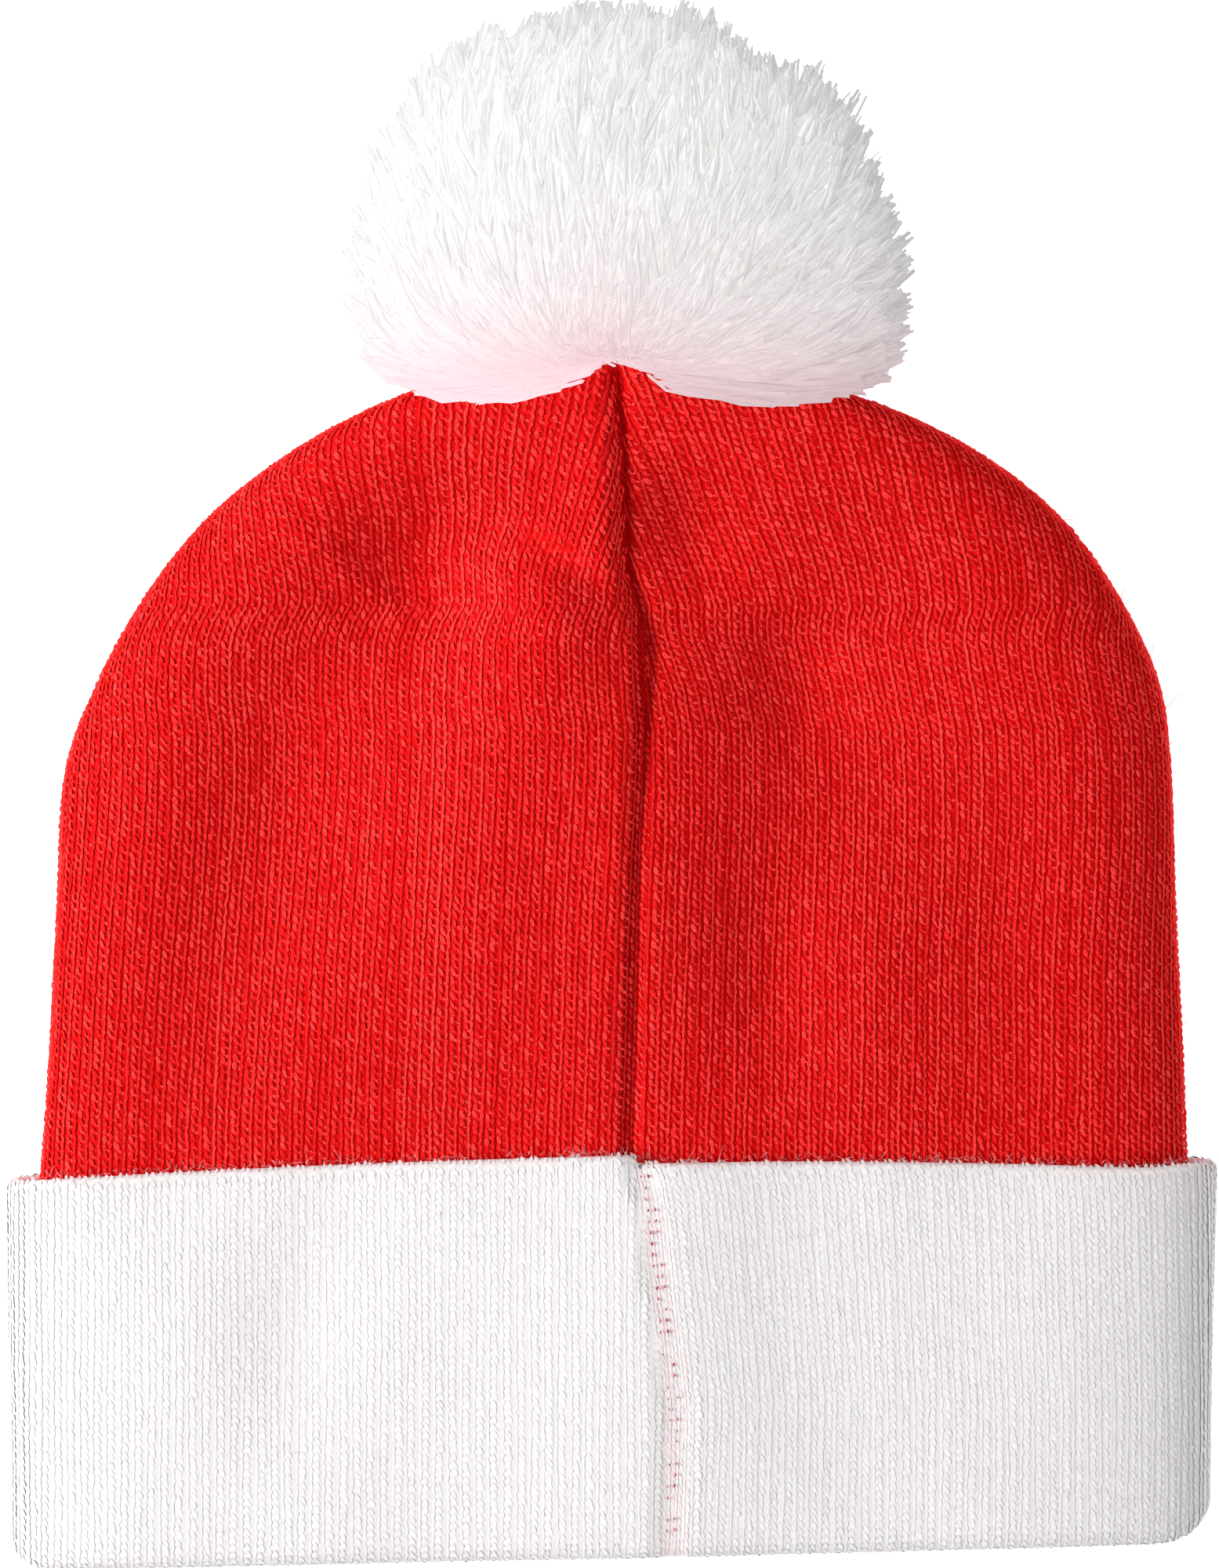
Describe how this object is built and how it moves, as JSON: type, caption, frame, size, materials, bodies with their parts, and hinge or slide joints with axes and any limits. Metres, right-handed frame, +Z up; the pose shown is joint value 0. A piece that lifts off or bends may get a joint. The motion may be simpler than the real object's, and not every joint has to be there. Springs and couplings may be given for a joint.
{
  "type": "knitted pompom beanie",
  "caption": "Knitted winter beanie with a gathered red crown, a turned-up white cuff and a white yarn pompom, lying flat with its back seam up; worn on the head.",
  "frame": {"origin": "on the surface under the lying hat, below the middle of its box", "axes": "+Z up, out of the face with the back seam; +Y from the open mouth to the pompom; +X to the right of someone who looks down on the seam"},
  "size_m": [0.2175, 0.2779, 0.0752],
  "materials": {
    "red_knit": "matt stocking-stitch knit",
    "white_knit": "matt stocking-stitch knit",
    "white_yarn": "cut plied yarn"
  },
  "bodies": {
    "root": {"crown": "red_knit", "cuff": "white_knit", "pompom": "white_yarn"}
  },
  "joints": []
}
